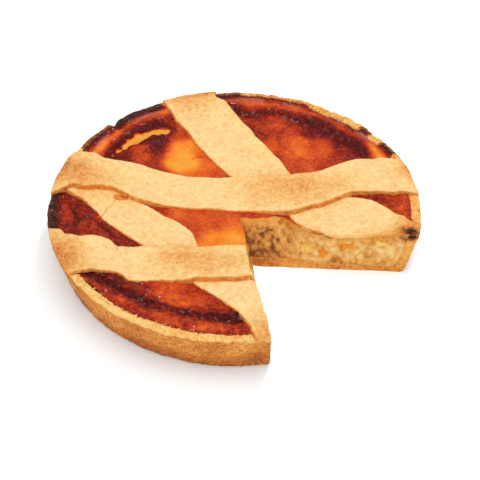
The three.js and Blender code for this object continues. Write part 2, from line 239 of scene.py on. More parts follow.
# %% [markdown]
# ## The top of the filling
# The filling rises in the oven and sinks as it cools, so its top is a dish. Along the crust it stays up
# as a swollen bead with a wrinkled trench inside it, and at the back its skin tore open. It swells a
# little beside the strips, which were pressed into it, and stays below them. The height is a function
# of the place, not a sculpted mesh, because the strips and the cut faces need to know it too.

# %% Heights of the top
CENTRE_HEIGHT = 23
EDGE_HEIGHT = 33
DISH_POWER = 2.2
BEAD_RADIUS, BEAD_WIDTH, BEAD_HEIGHT = 117, 4.2, 2.2
TRENCH_RADIUS, TRENCH_WIDTH, TRENCH_DEPTH = 109, 4.5, 2.4
TEAR = Route(
    (-91, 61.5), (-86.5, 67), (-81, 73), (-75, 78), (-69, 82.3), (-64, 86), (-58, 87.8), (-53, 88.6)
)
TEAR_HALF_WIDTH = (0.8, 3.5)  # at its front end, and from its middle on
TEAR_DEPTH = 1.4
LONG_CREASE = Route(
    (-98, -64), (-90, -71), (-76, -81), (-65, -87), (-52, -93), (-35, -99), (-19, -104), (2, -107)
)
# (line, half width, depth)
CREASES = [
    (LONG_CREASE, 2.2, 1.5),
    (Route((37, 92), (31, 84), (32, 76), (39, 69), (48, 60), (57, 52)), 0.8, 0.5),
    (Route((-116, 0), (-111, -11), (-112, -20)), 1.2, 0.9),
    (Route((-111, -11), (-102, -9), (-95, -15), (-85, -27)), 1.2, 0.9),
    (Route((-38, 84), (-28, 72), (-24, 66)), 1.0, 0.6),
    (Route((-34, 60), (-24, 62), (-14, 54)), 1.2, 0.6),
]
FOLD_SPACING = 4.2
SWELL_BESIDE_STRIP, SWELL_REACH = 0.7, 6
ROOM_BELOW_STRIP = 0.9


def dish(radius):
    share = min(radius / INSIDE_RADIUS, 1)
    return CENTRE_HEIGHT + (EDGE_HEIGHT - CENTRE_HEIGHT) * share**DISH_POWER


def bed(x, y):
    """What the strips bend over: the dish and the bead, but not the trench."""
    radius = math.hypot(x, y)
    shoulder = smoothstep(radius, BEAD_RADIUS, INSIDE_RADIUS)
    bead = BEAD_HEIGHT * ring(radius, BEAD_RADIUS, BEAD_WIDTH)
    return dish(radius) + max(bead, shoulder * (RIM_HEIGHT - EDGE_HEIGHT))


def near_tear(x, y):
    """A quick test that spares most places the search for the nearest point of the tear."""
    return x <= -40 and y >= 50


def tear(x, y):
    """1 inside the torn crescent of the skin, 0 outside."""
    if not near_tear(x, y):
        return 0
    away, share = TEAR.nearest(x, y)
    half = mix(*TEAR_HALF_WIDTH, smoothstep(share, 0, 0.5)) + hills(x, y, 3, 4) * 1.3
    return smoothstep(away, half + 0.4, half - 0.4)


def tear_lip_burn_and_shade(x, y):
    """1 on the upper lip round the tear, which is burnt and painted darker still as shade."""
    if not near_tear(x, y):
        return 0
    away, share = TEAR.nearest(x, y)
    return smoothstep(away, 7 + share * 4, 3) * smoothstep(y + x * 0.9, 0, 8)


def crease(x, y):
    """How deep the folds and cracks of the skin are at a place."""
    wander = hills(x, y, 20, 6) * 1.2
    return max(deep * ring(line.distance(x + wander, y - wander), 0, wide) for line, wide, deep in CREASES)


def folds(x, y):
    """The wrinkles that lie beside the long crease in front."""
    if y > -45:
        return 0
    away = LONG_CREASE.distance(x, y)
    wave = math.sin(away * math.tau / FOLD_SPACING + hills(x, y, 60, 10) * 3.5)
    return ring(away, 1, 7.5) * (wave * 0.7 + hills(x, y, 61, 3) * 0.5)


def bubbly(x, y):
    """1 where the skin boiled and bubbled, less where it set calmly."""
    outside = smoothstep(math.hypot(x, y), 84, 100)
    return outside * mix(0.35, 1, smoothstep(y - x * 0.3, 30, -20))


def skin(x, y):
    """Height of the baked skin."""
    radius = math.hypot(x, y)
    bead = BEAD_HEIGHT * ring(radius, BEAD_RADIUS + hills(x, y, 1, 30), BEAD_WIDTH)
    bead *= 0.55 + hills(x, y, 11, 24) * 0.3 + smoothstep(y, 20, 80) * 0.35
    trench = TRENCH_DEPTH * ring(radius, TRENCH_RADIUS + hills(x, y, 2, 26) * 2, TRENCH_WIDTH)
    trench *= 0.6 + hills(x, y, 12, 30) * 0.3
    swell = hills(x, y, 40, 34) * 0.7 + hills(x, y, 0, 16) * 0.45
    rough = mix(0.15, 1, bubbly(x, y))
    wrinkle = abs(hills(x, y, 9, 7)) * rough + hills(x, y, 30, 3.2) * rough * 0.4
    height = dish(radius) + bead - trench + swell - wrinkle + folds(x, y)
    height = height - tear(x, y) * TEAR_DEPTH - crease(x, y)
    beside = min(outside_of(strip, x, y) for strip in STRIPS.values())
    height += smoothstep(beside, SWELL_REACH, 0) * SWELL_BESIDE_STRIP
    below = min(height, bed(x, y) - ROOM_BELOW_STRIP)
    return mix(height, below, smoothstep(beside, 0.5, -2.5))


print("height in the middle", round(skin(0, 0), 1), "mm, on the bead", round(skin(BEAD_RADIUS, 0), 1), "mm")

# %% [markdown]
# ## The rim
# Shortcrust breaks as it is handled: the rim wanders up and down, is chipped in one place and crumbles
# everywhere. The rim's height is a function too, because burnt filling boiled over it in places and has
# to lie on it.

# %% The crumbling rim
CHIP_ANGLE, CHIP_WIDTH, CHIP_DEPTH = 135, 1.4, 2.6
OVAL_ANGLE, OVAL_AMOUNT = 150, 1.1
RIM_PROFILE = [
    (BASE_RADIUS, FOOT_CHAMFER),
    (BASE_RADIUS + 2.6, RIM_HEIGHT * 0.35),
    (BASE_RADIUS + 5.2, RIM_HEIGHT * 0.7),
    (RIM_RADIUS, RIM_HEIGHT - 2.2),
    (RIM_RADIUS - 0.4, RIM_HEIGHT - 0.5),
    (RIM_RADIUS - 1.4, RIM_HEIGHT + 0.1),
    (RIM_RADIUS - 5, RIM_HEIGHT - 0.1),
    (INSIDE_RADIUS, RIM_HEIGHT - 1),
]


def angle_of(x, y):
    return math.degrees(math.atan2(y, x)) % 360


def angle_from(angle, middle):
    """Difference of two angles, from -180 to 180 degrees."""
    return (angle - middle + 180) % 360 - 180


def oval(x, y):
    """How far the tart bulges out of the round at a place."""
    return OVAL_AMOUNT * (1 + math.cos(math.atan2(y, x) - math.radians(OVAL_ANGLE)))


def crumble(point):
    """Where a point of the plain crust goes when the crust has baked and crumbled."""
    x, y, z = point
    angle = angle_of(x, y)
    top = smoothstep(z, RIM_HEIGHT * 0.8, RIM_HEIGHT)
    broad = hills(x, y, 0, 30) * 0.75
    loose = mix(0.65, 1, smoothstep(y + x * 0.4, -60, 20))
    fine = (hills(x, y, z, 6) * 0.75 + hills(x, y, z, 2.2) * 0.6) * loose
    chip = CHIP_DEPTH * ring(angle_from(angle, CHIP_ANGLE), 0, CHIP_WIDTH)
    grain = hills(x, y, z, 14) * 0.4 + hills(x, y, z * 1.5, 4.5) * 0.35 - abs(hills(x, y, z, 2.2)) * 0.35
    fine *= 1 - burnt(x, y) * 0.7
    out = 1 + (oval(x, y) + grain + top * (fine - chip) * 0.5) / RIM_RADIUS
    return Vector((x * out, y * out, z + top * (fine + broad - chip)))


def rim_surface(x, y):
    """Height of the rim's top at a place on it."""
    radius = math.hypot(x, y)
    inner = smoothstep(radius, INSIDE_RADIUS, RIM_RADIUS - 3)
    plain = RIM_HEIGHT - 1 + 1.2 * inner - 2.5 * smoothstep(radius, RIM_RADIUS - 2, RIM_RADIUS + 1.2)
    return crumble((x, y, plain)).z


print("the rim's profile has", len(RIM_PROFILE), "points")

# %% [markdown]
# ## How brown the skin is
# Milk sugar browns the skin from pale yellow through orange and red to black. One number says how far
# it got: 0 is barely set, 1 is burnt. It is painted like a baker sees it, as soft patches round named
# places, darker where the filling boiled over the rim. The same number also carries painted shade in the
# trench at the back, in the creases, in the troughs of the folds and on the tear's upper lip, and painted
# light on the bead and on the tops of the folds.

# %% Patches of the skin
# (x, y, how brown in hundredths), window by window
PATCHES = [
    # at the back left
    (-81, 81, 68), (-66, 94, 72), (-65, 79, 72), (-86, 62, 70), (-57, 71, 86), (-70, 66, 44),
    (-45, 67, 10), (-37, 59, 6), (-26, 46, 28), (-35, 74, 17), (-46, 92, 48), (-19, 41, 42),
    (-95, 83, 46), (-105, 66, 34), (-74, 106, 44), (-52, 105, 50), (-40, 89, 54), (-26, 66, 34),
    # at the left
    (-123, -10, 56), (-114, 2, 64), (-112, -19, 64), (-99, -12, 58), (-87, -24, 60), (-77, -30, 64),
    # in the middle
    (-54, 4, 52), (-40, 3, 38), (-25, -3, 42), (-8, 6, 42), (-15, -8, 40), (-4, -25, 10),
    (-13, -26, 20), (0, -11, 32), (-32, -13, 46), (14, 2, 52), (32, 2, 55), (19, -5, 36),
    (42, -6, 52),
    # in front
    (-97, -69, 68), (-84, -72, 70), (-89, -84, 50), (-70, -80, 64), (-57, -78, 56), (-40, -74, 42),
    (-47, -82, 38), (-33, -89, 36), (-23, -94, 46), (-10, -93, 62), (-27, -78, 56), (-75, -98, 44),
    (-62, -101, 62), (-45, -110, 44), (-32, -111, 52), (-19, -116, 46), (0, -106, 74), (3, -118, 52),
    # at the back right
    (-1, 117, 64), (11, 110, 56), (26, 117, 54), (26, 125, 66), (49, 112, 58), (49, 98, 56),
    (57, 95, 74), (69, 89, 72), (82, 73, 72), (92, 63, 72), (81, 58, 62), (48, 68, 34), (63, 67, 38),
    (33, 80, 42), (26, 96, 50), (21, 90, 60), (70, 53, 54), (47, 52, 40), (36, 52, 50),
    (107, 61, 34),
    # at the right
    (104, 8, 60), (113, 2, 54), (119, 0, 40), (120, -8, 54),
]
PATCH_SIZE, PATCH_REACH = 8, 30
# (angle, half width in degrees, how far the filling lies over the rim, how burnt it is there)
BOILED_OVER = [
    (126, 9.5, 6.4, 1.0),
    (144, 8, 6.4, 0.75),
    (183.5, 9, 6.4, 1.0),
    (95, 6.5, 5.0, 0.75),
    (76, 12, 4.4, 0.2),
    (40, 2.0, 4.6, 0.75),
    (28, 3.2, 4.8, 0.8),
    (234, 8, 2.6, 0.0),
]
BURNT_RING = (122, 127.5)  # it is burnt from the first radius on, and fully from the second
PLAIN_BROWN, PLAIN_WEIGHT = 0.55, 0.01
DARKEST_BROWN, BURNT_BROWN = 0.8, 0.96
EDGE_RING, EDGE_BROWN = (121, 125), 0.6
# (radius, half width) of the painted shade in the trench, the painted light on the bead and the painted
# sheen line
TRENCH_SHADE_BAND, BEAD_LIGHT_BAND, SHEEN_BAND = (111.5, 3.5), (119, 2.6), (122.3, 1.3)
# (x, y, square of the size, how burnt)
SCORCHED = [(120, -32, 34, 0.8), (112, -33, 110, 0.25)]


def spill(angle):
    """How far the skin reaches out over the rim at an angle, in millimetres."""
    ragged = hills(angle * 2, 0, 7, 9) * 1.1 + hills(angle * 2, 0, 17, 3.5) * 0.8
    far = ragged
    for middle, half, reach, _ in BOILED_OVER:
        off = abs(angle_from(angle, middle))
        far = max(far, reach * smoothstep(off, half * 1.3, half * 0.9) + ragged * 0.3)
    return max(far, -0.8)


def burnt(x, y):
    """1 where the skin or the rim is burnt black."""
    angle = angle_of(x, y) + hills(x, y, 2, 8) * 1.5
    along = max(
        how * smoothstep(abs(angle_from(angle, middle)), half * 1.25, half * 0.9)
        for middle, half, _, how in BOILED_OVER
    )
    return along * smoothstep(math.hypot(x, y) + hills(x, y, 4, 6), *BURNT_RING)


def trench_shade_and_bead_light(x, y):
    """Painted shade and light: the skin at the back is darker in the trench and lighter on the bead."""
    radius = math.hypot(x, y) + hills(x, y, 8, 25) * 2
    back = smoothstep(y, 30, 60)
    # Painted shade in the trench and painted light on the bead.
    return back * (0.16 * ring(radius, *TRENCH_SHADE_BAND) - 0.2 * ring(radius, *BEAD_LIGHT_BAND))


def sheen_line_of_light(x, y):
    """A painted sheen: the thin paler line along the filling's edge at the back, where light shines on the
    bead.
    """
    radius = math.hypot(x, y) + hills(x, y, 8, 25) * 1.2
    patchy = smoothstep(hills(x, y, 52, 14), -0.4, 0.3)
    return smoothstep(y, 55, 75) * patchy * ring(radius, *SHEEN_BAND) * (1 - burnt(x, y))


def scorched(x, y):
    """How burnt the corner of the rim and the strip is at the right end of the cut."""
    return sum(how * math.exp(-((x - px) ** 2 + (y - py) ** 2) / area) for px, py, area, how in SCORCHED)


def browning_and_painted_light(x, y):
    """How brown the skin is at a place, with painted shade and light from the trench, the bead, the
    creases, the folds and the tear's lip.
    """
    total, weight = PLAIN_BROWN * PLAIN_WEIGHT, PLAIN_WEIGHT
    for px, py, brown in PATCHES:
        away = (x - px) ** 2 + (y - py) ** 2
        if away < PATCH_REACH**2:
            near = math.exp(-away / PATCH_SIZE**2)
            total += brown / 100 * near
            weight += near
    mottle = hills(x, y, 60, 11) * 0.06 + hills(x, y, 70, 4) * 0.1 * bubbly(x, y)
    # Painted shade darkens the creases and the troughs of the folds, and painted light brightens the fold
    # tops; the broad band along the long crease is partly browner caramel.
    fold_shade_and_light = min(crease(x, y), 1) * 0.2 - folds(x, y) * 0.12 + ring(LONG_CREASE.distance(x, y), 1, 5) * 0.17
    # The tear's upper lip is burnt, and painted darker still as shade.
    brown = total / weight + mottle + fold_shade_and_light + tear_lip_burn_and_shade(x, y) * 0.2 + trench_shade_and_bead_light(x, y)
    brown = min(brown, DARKEST_BROWN)
    outer = smoothstep(math.hypot(x, y), *EDGE_RING)
    brown = mix(brown, max(brown, EDGE_BROWN), outer)
    brown = mix(brown, BURNT_BROWN, burnt(x, y))
    brown = mix(brown, 0.04 + abs(hills(x, y, 44, 5)) * 0.12, tear(x, y))
    return min(max(brown, 0), 1)


print("browning in the middle and at the left:", [round(browning_and_painted_light(*at), 2) for at in [(0, -25), (-121, 0)]])

# %% [markdown]
# ## Working with meshes
# Every piece starts as a spun profile or a divided block, gets its relief by moving its vertices, and is
# then handed over in metres. A block comes from a grid that is extruded, so its rows can be placed
# where the shape needs them.

# %% Mesh helpers
WELD = 4e-3
SECTORS = 8  # a turned shape is spun over one of these and then doubled three times
SHARP_ANGLE = 55


def block(columns, rows, layers):
    """A cube of side 1 round the origin, divided along X, Y and Z."""
    bm = bmesh.new()
    low = Matrix.Translation((0, 0, -0.5))
    bmesh.ops.create_grid(bm, x_segments=columns, y_segments=rows, size=0.5, matrix=low)
    made = bmesh.ops.extrude_face_region(bm, geom=bm.faces[:], use_keep_orig=True)
    raised = [part for part in made["geom"] if isinstance(part, bmesh.types.BMVert)]
    bmesh.ops.translate(bm, verts=raised, vec=(0, 0, 1))
    upright = [edge for edge in bm.edges if abs(edge.verts[0].co.z - edge.verts[1].co.z) > 0.5]
    bmesh.ops.subdivide_edges(bm, edges=upright, cuts=layers - 1, use_grid_fill=True)
    bmesh.ops.recalc_face_normals(bm, faces=bm.faces[:])
    return bm


def turned(profile, steps):
    """A closed shape turned about Z. The profile of radii and heights starts and ends on the axis."""
    bm = bmesh.new()
    verts = [bm.verts.new((radius, 0, height)) for radius, height in profile]
    edges = [bm.edges.new(pair) for pair in zip(verts, verts[1:])]
    sector = math.tau / SECTORS
    bmesh.ops.spin(
        bm, geom=verts + edges, cent=(0, 0, 0), axis=(0, 0, 1), angle=sector, steps=steps // SECTORS
    )
    for turn in (sector, sector * 2, sector * 4):
        copy = bmesh.ops.duplicate(bm, geom=bm.verts[:] + bm.edges[:] + bm.faces[:])
        moved = [part for part in copy["geom"] if isinstance(part, bmesh.types.BMVert)]
        bmesh.ops.rotate(bm, verts=moved, cent=(0, 0, 0), matrix=Matrix.Rotation(turn, 3, "Z"))
    bmesh.ops.remove_doubles(bm, verts=bm.verts[:], dist=WELD)
    bmesh.ops.recalc_face_normals(bm, faces=bm.faces[:])
    print("turned", len(bm.faces), "faces, closed:", all(edge.is_manifold for edge in bm.edges))
    return bm


def divided(profile, step):
    """The same profile with points no further apart than the step."""
    fine = [profile[0]]
    for start, end in zip(profile, profile[1:]):
        count = max(1, math.ceil(math.dist(start, end) / step))
        for i in range(1, count + 1):
            fine.append((mix(start[0], end[0], i / count), mix(start[1], end[1], i / count)))
    return fine


def into_object(bm, name, *finishes):
    """A mesh in millimetres as an object in metres."""
    bmesh.ops.scale(bm, vec=(MM, MM, MM), verts=bm.verts[:])
    mesh = bpy.data.meshes.new(name)
    bm.to_mesh(mesh)
    bm.free()
    for finish in finishes:
        mesh.materials.append(finish)
    made = bpy.data.objects.new(name, mesh)
    bpy.context.scene.collection.objects.link(made)
    return made


def carve(target, tool, operation="DIFFERENCE"):
    """Cuts an object with another one and keeps the result as its mesh."""
    for i in range(len(tool.data.materials)):
        tool.data.materials[i] = target.data.materials[i]
    cut = target.modifiers.new("cut", "BOOLEAN")
    cut.operation = operation
    cut.solver = "MANIFOLD"
    cut.object = tool
    with bpy.context.temp_override(object=target, active_object=target):
        bpy.ops.object.modifier_apply(modifier=cut.name)


def paint(target, name, rule):
    """Gives each vertex a number, worked out from its place in millimetres."""
    mesh = target.data
    layer = mesh.attributes.get(name) or mesh.attributes.new(name, "FLOAT", "POINT")
    layer.data.foreach_set("value", [rule(*(vert.co / MM)) for vert in mesh.vertices])


def complete(target, *nodes, slot):
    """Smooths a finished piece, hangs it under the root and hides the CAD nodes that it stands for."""
    target.data.polygons.foreach_set("use_smooth", [True] * len(target.data.polygons))
    target.data.set_sharp_from_angle(angle=math.radians(SHARP_ANGLE))
    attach(target, "root")
    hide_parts(*nodes)
    target.data.calc_loop_triangles()
    size = [round(length / MM) for length in target.dimensions]
    print(target.name, len(target.data.loop_triangles), "triangles,", size, "mm")


# %% [markdown]
# ## Shader maths
# A material's sums are easier to read as sums. `Wire` wraps the output of a node, and each operator on
# it adds a Math node. `Finish` is a material with one method that adds any other node.


# %% Wires and finishes
class Wire:
    """A number that runs from one node to another."""

    def __init__(self, finish, socket):
        self.finish = finish
        self.socket = socket

    def math(self, operation, *values):
        return self.finish.add("ShaderNodeMath", {"operation": operation}, dict(enumerate(values)))

    def __add__(self, other):
        return self.math("ADD", self, other)

    def __radd__(self, other):
        return self.math("ADD", other, self)

    def __sub__(self, other):
        return self.math("SUBTRACT", self, other)

    def __rsub__(self, other):
        return self.math("SUBTRACT", other, self)

    def __mul__(self, other):
        return self.math("MULTIPLY", self, other)

    def between(self, low, high):
        """0 below low, 1 above high, and a soft climb between them."""
        inputs = {"Value": self, "From Min": low, "From Max": high}
        return self.finish.add("ShaderNodeMapRange", {"interpolation_type": "SMOOTHSTEP"}, inputs)


class Finish:
    """A material and the ways to add nodes to it."""

    def __init__(self, name, **constants):
        self.material = bpy.data.materials.new(name)
        self.material.use_nodes = True
        self.tree = self.material.node_tree
        self.shader = self.tree.nodes["Principled BSDF"]
        self.place = self.add("ShaderNodeTexCoord", output="Object")
        self.set(**constants)

    def add(self, kind, settings=None, inputs=None, output=0):
        """A node of a kind, with its settings made first, then its sockets. Returns one of its outputs."""
        node = self.tree.nodes.new(kind)
        for name, value in (settings or {}).items():
            setattr(node, name, value)
        for name, value in (inputs or {}).items():
            self.feed(node.inputs[name], value)
        return Wire(self, node.outputs[output])

    def feed(self, socket, value):
        if isinstance(value, Wire):
            self.tree.links.new(value.socket, socket)
        else:
            socket.default_value = value

    def set(self, **inputs):
        """Sets or feeds the shader's own sockets."""
        for name, value in inputs.items():
            self.feed(self.shader.inputs[name.replace("_", " ")], value)

    def painted(self, name):
        return self.add("ShaderNodeAttribute", {"attribute_name": name}, output="Fac")

    def clouds(self, size, detail=3, roughness=0.55):
        """Noise with clouds of the given size in millimetres."""
        inputs = {"Vector": self.place, "Scale": 1 / (size * MM), "Detail": detail, "Roughness": roughness}
        return self.add("ShaderNodeTexNoise", inputs=inputs)

    def cells(self, size):
        """Distance to the nearest of many random points that are about a size apart."""
        inputs = {"Vector": self.place, "Scale": 1 / (size * MM)}
        return self.add("ShaderNodeTexVoronoi", {"feature": "SMOOTH_F1"}, inputs, output="Distance")

    def ramp(self, value, *stops):
        """Colours by value. Each stop is a position and a colour as picked on a screen."""
        made = self.add("ShaderNodeValToRGB", inputs={"Fac": value}, output="Color")
        elements = made.socket.node.color_ramp.elements
        while len(elements) < len(stops):
            elements.new(1)
        for element, (position, *picked) in zip(elements, stops):
            element.position = position
            element.color = colour(*picked)
        return made

    def blend(self, share, first, second):
        """One colour over another. The colour sockets of a Mix node go by their numbers."""
        return self.add("ShaderNodeMix", {"data_type": "RGBA"}, {0: share, 6: first, 7: second}, output=2)

    def bump(self, height, depth):
        """Fine relief of the given depth in millimetres."""
        inputs = {"Height": height, "Distance": depth * MM}
        self.set(Normal=self.add("ShaderNodeBump", inputs=inputs))


def colour(red, green, blue):
    """A colour as picked on a screen, in the light values that a shader needs."""
    linear = [((part / 255 + 0.055) / 1.055) ** 2.4 for part in (red, green, blue)]
    return (*linear, 1)


print("cream is", [round(part, 2) for part in colour(250, 222, 165)])

# %% [markdown]
# ## The skin's finish
# The number `brown` picks a colour from a ramp, from yellow through red to almost black; it also carries
# painted shade and light that follow the skin's relief. Fine clouds make the colour grainy, as caramel is,
# and a thin clear coat that lies only in spots gives it its small wet glints. Another number says where
# a paler pink line is painted along the bead at the back, as a painted sheen.

# %% Baked skin
skin_finish = Finish("baked_skin", Roughness=0.32, Specular_IOR_Level=0.12, Coat_Roughness=0.1)
# This number also carries painted shade and light that follow the skin's relief.
brown = skin_finish.painted("brown")
boiled = brown.between(0.2, 0.75)
tone = (
    brown
    + (skin_finish.clouds(9, 6, 0.65) - 0.44) * 0.25
    + (skin_finish.clouds(2.0, 5, 0.85) - 0.5) * (boiled + 0.45)
)
skin_colour = skin_finish.ramp(
    tone,
    (0.00, 216, 150, 70),
    (0.10, 234, 158, 52),
    (0.20, 234, 132, 28),
    (0.34, 220, 92, 18),
    (0.50, 188, 54, 12),
    (0.66, 134, 27, 12),
    (0.82, 84, 17, 14),
    (1.00, 54, 20, 24),
)
# Painted sheen: a paler pink line along the bead at the back stands in for the light shining on it.
skin_colour = skin_finish.blend(skin_finish.painted("painted_sheen") * 0.5, skin_colour, colour(222, 140, 118))
wet = skin_finish.clouds(3.5, 3, 0.6).between(0.54, 0.62) * boiled
skin_finish.set(Base_Color=skin_colour, Coat_Weight=wet * 0.9)
skin_finish.bump(skin_finish.clouds(2.8, 5, 0.7) * (0.2 + boiled * 1.5), 1.3)

# %% [markdown]
# ## The crumb's finish
# A cut face shows cream-coloured curds and wheat grains, with brown pits between them. Its colour follows
# the knife's relief: the lumps are painted lighter and the hollows and pits darker, as painted light and
# shade. Under the skin the crumb is stained yellow-orange. Three painted numbers help: how deep a point
# lies below the skin, the relief that the knife left, and how tanned the crumb is there, with painted
# shade near the inner corner of the notch and near the floor.

# %% Cut crumb of the filling
crumb_finish = Finish("filling_crumb", Roughness=0.6, Specular_IOR_Level=0.4)
relief = crumb_finish.painted("relief")
grain = crumb_finish.clouds(3.2, 4, 0.6)
# Painted light and shade: the knife's relief makes the lumps lighter and the hollows and pits darker, and
# the tan number also darkens the crumb as shade near the notch's corner and the floor.
curd = crumb_finish.ramp(
    relief * 0.38 + grain * 0.7 + 0.08 - crumb_finish.painted("tan_and_painted_shade") * 0.3,
    (0.06, 132, 70, 18),
    (0.22, 198, 124, 42),
    (0.40, 222, 158, 74),
    (0.58, 238, 186, 106),
    (0.80, 248, 216, 154),
)
stain = 1 - (crumb_finish.painted("depth") + (crumb_finish.clouds(4) - 0.5) * 3).between(0.6, 5.5)
crumb_colour = crumb_finish.blend(stain * 0.75, curd, colour(226, 148, 48))
crumb_finish.set(Base_Color=crumb_colour)
crumb_finish.bump(crumb_finish.clouds(1.5, 4) + crumb_finish.cells(2.2) * 0.7, 0.6)

# %% [markdown]
# ## The pastry's finishes
# The same shortcrust is used for the shell and the strips. The outside of the shell stood against the
# tin and is golden brown with dark specks; the strips are paler and floury, with toasted patches. Where
# either is cut, it is pale and sandy.

# %% Shortcrust of the shell
crust_finish = Finish("shortcrust", Roughness=0.82, Specular_IOR_Level=0.25)
specks = crust_finish.clouds(1.3, 3, 0.7).between(0.56, 0.72)
crust_tone = (
    crust_finish.painted("toast")
    + (crust_finish.clouds(9, 5, 0.65) - 0.5) * 0.4
    + (crust_finish.clouds(2.6, 5, 0.8) - 0.5) * 1.1
    + specks * 0.2
)
crust_colour = crust_finish.ramp(
    crust_tone,
    (0.00, 255, 210, 132),
    (0.22, 255, 184, 92),
    (0.45, 220, 136, 54),
    (0.65, 188, 102, 36),
    (0.82, 134, 66, 26),
    (1.00, 54, 24, 26),
)
crust_finish.set(Base_Color=crust_colour)
crust_finish.bump(crust_finish.clouds(2.2, 5, 0.75) - specks * 0.3, 1.2)

# %% Cut pastry
section_finish = Finish("cut_pastry", Roughness=0.88, Specular_IOR_Level=0.2)
section_colour = section_finish.ramp(
    section_finish.painted("toast") * 0.8 + (section_finish.clouds(3, 5, 0.75) - 0.5) * 0.9,
    (0.00, 252, 212, 138),
    (0.25, 246, 188, 100),
    (0.50, 226, 148, 64),
    (0.70, 178, 98, 40),
    (0.90, 60, 28, 24),
)
section_finish.set(Base_Color=section_colour)
section_finish.bump(section_finish.clouds(0.9, 4, 0.7), 0.6)

# %% Dough of the strips
dough_finish = Finish("lattice_dough", Roughness=0.8, Specular_IOR_Level=0.25)
dough_specks = dough_finish.clouds(1.3, 3, 0.7).between(0.54, 0.68)
toast = dough_finish.painted("toast")
dough_tone = (
    toast
    + (dough_finish.clouds(14, 5, 0.6) - 0.5) * 0.3
    + (dough_finish.clouds(3.2, 5, 0.8) - 0.5) * 1.05
    + dough_specks * toast * 0.35
)
dough_colour = dough_finish.ramp(
    dough_tone,
    (0.00, 255, 228, 168),
    (0.20, 252, 212, 144),
    (0.34, 247, 192, 116),
    (0.52, 234, 160, 84),
    (0.70, 204, 122, 52),
    (0.88, 120, 60, 32),
    (1.00, 56, 32, 28),
)
side_tone = dough_finish.painted("flank") * 0.85 + (dough_finish.clouds(2.4, 4, 0.7) - 0.5) * 0.7
side_colour = dough_finish.ramp(
    dough_finish.clouds(3, 4, 0.7),
    (0.38, 244, 158, 62),
    (0.56, 226, 132, 46),
    (0.70, 152, 74, 26),
)
dough_finish.set(Base_Color=dough_finish.blend(side_tone.between(0.2, 0.75), dough_colour, side_colour))
dough_finish.bump(dough_finish.clouds(1.8, 5, 0.8) + dough_finish.clouds(6, 3) * 0.9, 0.9)


# %% Candied peel
def candied(name, dark, light, **constants):
    """A finish for peel: two colours that are almost the same, in clouds."""
    finish = Finish(name, **constants)
    finish.set(Base_Color=finish.ramp(finish.clouds(3), (0.35, *dark), (0.65, *light)))
    finish.bump(finish.clouds(1.5), 0.2)
    return finish


orange_look = {"Roughness": 0.4, "Specular_IOR_Level": 0.2}
orange_finish = candied("candied_orange", (226, 118, 8), (240, 152, 24), **orange_look)
citron_finish = candied("candied_citron", (226, 164, 58), (244, 200, 104), Roughness=0.35)

# %% [markdown]
# ## The knife
# The wedge is cut out of the crust, the filling and the strips by one tool, so their faces line up. Only
# the long strip at the back stays whole, because the cut ends in front of it. The tool is a divided
# block whose two long sides follow the lines of the cut, and whose surface carries the lumps of curd
# and wheat that the knife left behind. A Boolean modifier hands these faces on with their finish and
# their painted relief.

# %% The two cut faces
APEX_WIDTH = 3
CUT_TOP = 25  # the height at which the lines of the top are followed
LEFT_TOP = Route(
    (1.5, 0.5), (4, -8), (5, -18), (6, -28), (7.5, -38), (8.3, -47), (10.3, -60), (12.5, -70),
    (15, -80), (18, -95), (20.5, -110), (22.5, -127), (29, -170)
)
RIGHT_TOP = Route(
    (4.5, 0.3), (20, -0.6), (28, -1), (34, -3.5), (40, -9.5), (47, -15), (54, -20), (62, -24),
    (70, -26), (80, -27.2), (95, -28.2), (110, -29.4), (124, -32), (170, -44)
)
LEFT_FOOT = Route((12, -27), (17, -75), (22, -119), (29, -170))
RIGHT_FOOT = Route((12 + APEX_WIDTH, -28), (70, -31), (118, -34), (170, -42))
CUT_BOTTOM, CUT_HIGHEST = -5, RIM_HEIGHT + 14
PASTRY_LUMPS, CRUMB_LUMPS = 0.5, 1.25  # height of the lumps on the cut pastry and on the cut crumb


def face_point(side, share, z):
    """A point of a cut face in plan: side 0 is the left face and 1 the right one."""
    foot, top = [(LEFT_FOOT, LEFT_TOP), (RIGHT_FOOT, RIGHT_TOP)][side]
    return foot.at(share)[0].lerp(top.at(share)[0], z / CUT_TOP)


def lumps(x, y, z):
    """Relief of a cut face: rounded curds and grains, with a pit here and there, from -1 to about 1."""
    near, _ = noise.voronoi(Vector((x, y, z)) / 4.8)
    curd = 1 - min(near[0] * 1.3, 1) ** 2
    near, _ = noise.voronoi(Vector((x, y, z)) / 2.6 + Vector((5, 5, 5)))
    small = 1 - min(near[0] * 1.3, 1) ** 2
    pit = smoothstep(hills(x, y, z + 90, 4.5), 0.62, 0.95) * smoothstep(x, 75, 25)
    return curd * 0.65 + small * 0.3 - 0.3 + hills(x, y, z, 9) * 0.35 - pit


